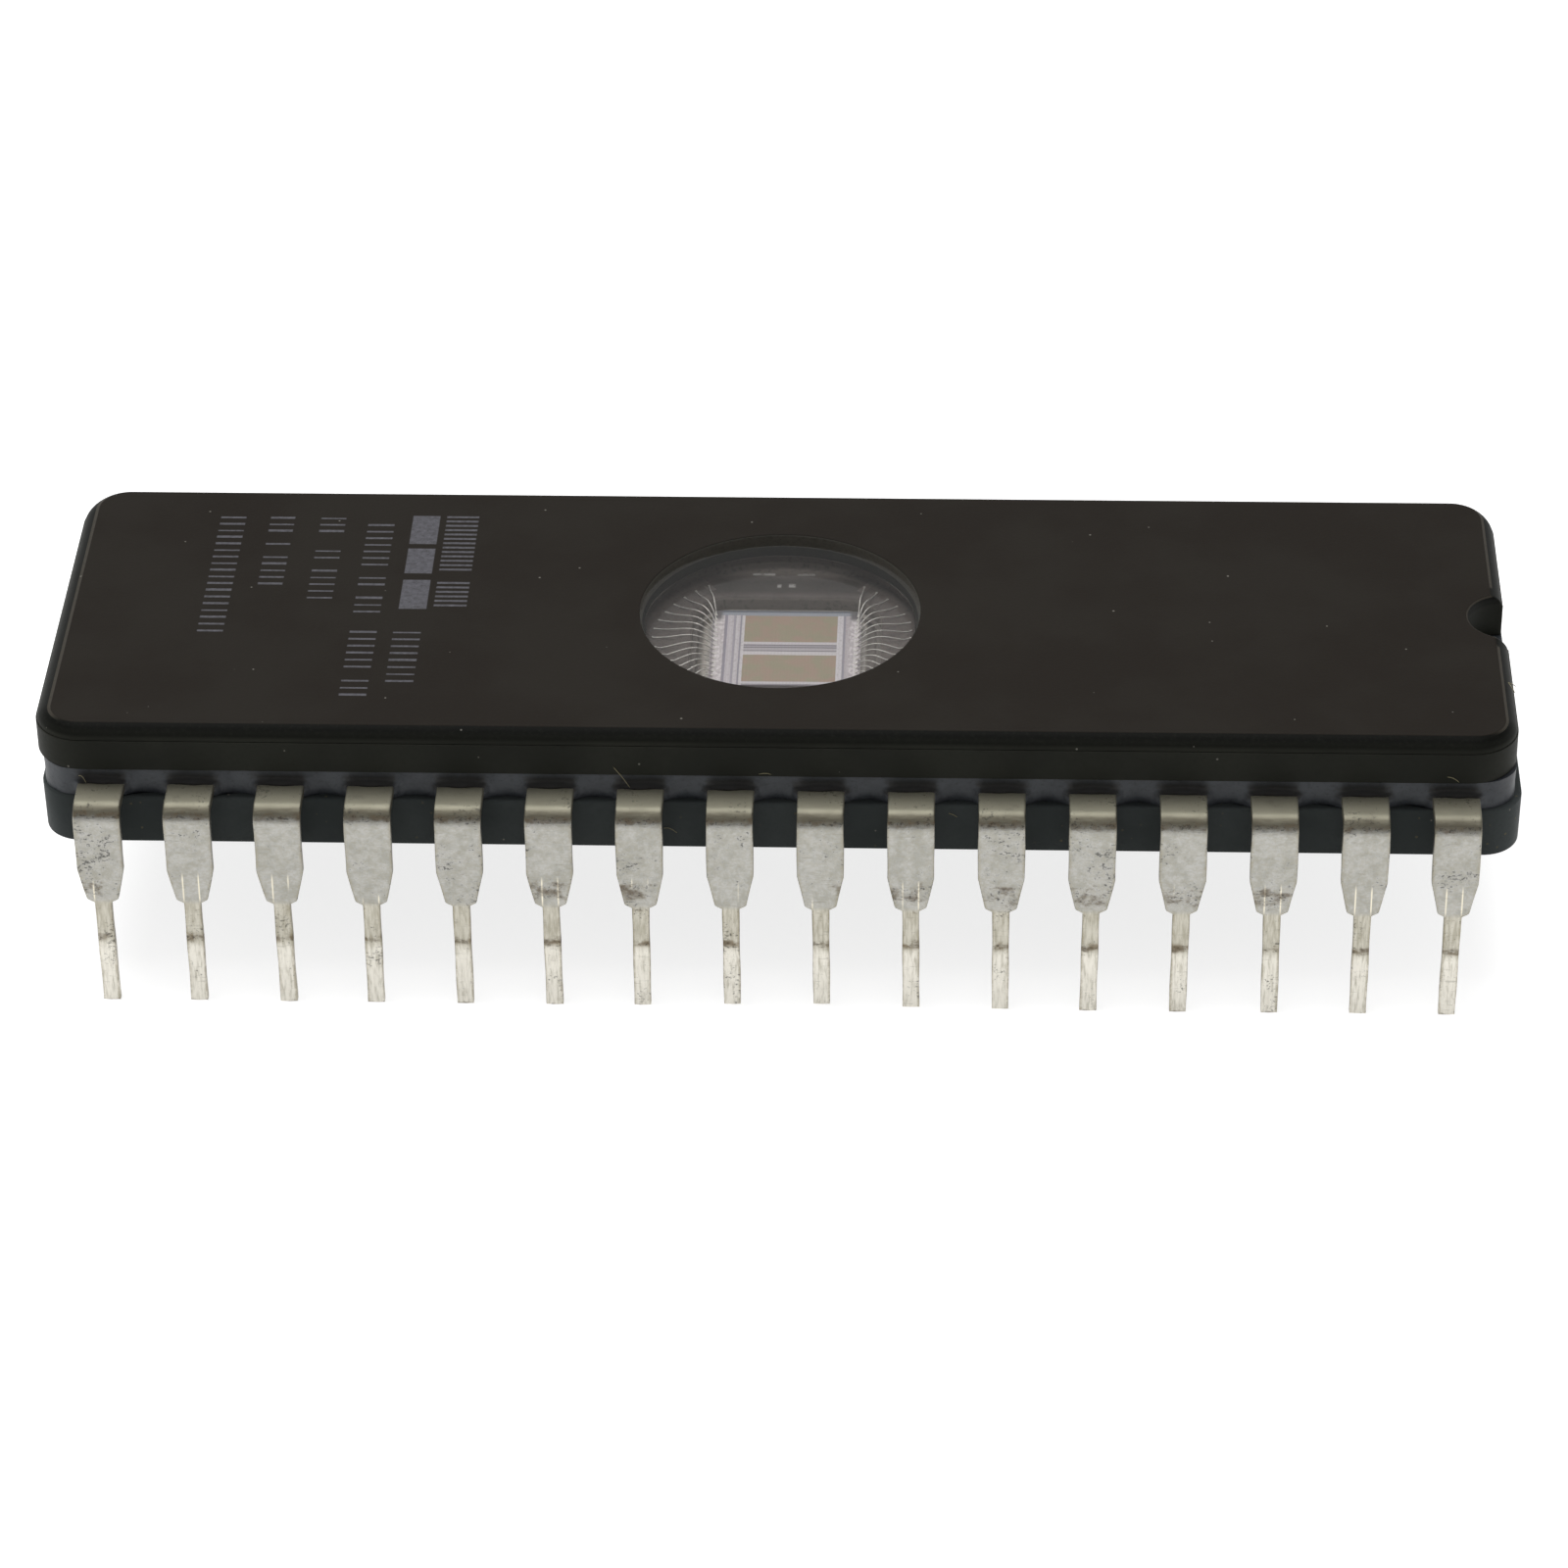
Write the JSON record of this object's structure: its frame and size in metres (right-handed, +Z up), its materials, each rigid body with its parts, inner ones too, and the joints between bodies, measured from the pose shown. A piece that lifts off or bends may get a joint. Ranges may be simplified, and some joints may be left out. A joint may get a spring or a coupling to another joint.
{
  "type": "windowed ceramic memory chip",
  "caption": "Ceramic dual-in-line memory chip with a round glass window over its die, a notched end and a row of tin-plated leads down each long side.",
  "frame": {"origin": "centre of the four corner lead tips, on the plane that the tips stand on", "axes": "+X along the lead rows towards the notched end, +Y across the rows towards lead 1, +Z up from the tips to the lid"},
  "size_m": [0.042, 0.016, 0.0083],
  "materials": {
    "black_ceramic": "pressed and fired black alumina, smooth with a low sheen",
    "sealing_glass": "dark blue-grey sealing glass, glossy where it shows",
    "window_glass": "clear fused window glass",
    "silicon": "polished silicon with fine metal tracks",
    "die_attach_paste": "dull silver-filled paste",
    "tin_plate": "satin tin plate with specks and scuffs"
  },
  "bodies": {
    "root": {"ceramic_base": "black_ceramic", "ceramic_lid": "black_ceramic", "sealing_glass": "sealing_glass", "window_lens": "window_glass", "silicon_die": "silicon", "die_attach": "die_attach_paste", "lead_01": "tin_plate", "lead_02": "tin_plate", "lead_03": "tin_plate", "lead_04": "tin_plate", "lead_05": "tin_plate", "lead_06": "tin_plate", "lead_07": "tin_plate", "lead_08": "tin_plate", "lead_09": "tin_plate", "lead_10": "tin_plate", "lead_11": "tin_plate", "lead_12": "tin_plate", "lead_13": "tin_plate", "lead_14": "tin_plate", "lead_15": "tin_plate", "lead_16": "tin_plate", "lead_17": "tin_plate", "lead_18": "tin_plate", "lead_19": "tin_plate", "lead_20": "tin_plate", "lead_21": "tin_plate", "lead_22": "tin_plate", "lead_23": "tin_plate", "lead_24": "tin_plate", "lead_25": "tin_plate", "lead_26": "tin_plate", "lead_27": "tin_plate", "lead_28": "tin_plate", "lead_29": "tin_plate", "lead_30": "tin_plate", "lead_31": "tin_plate", "lead_32": "tin_plate"}
  },
  "joints": []
}
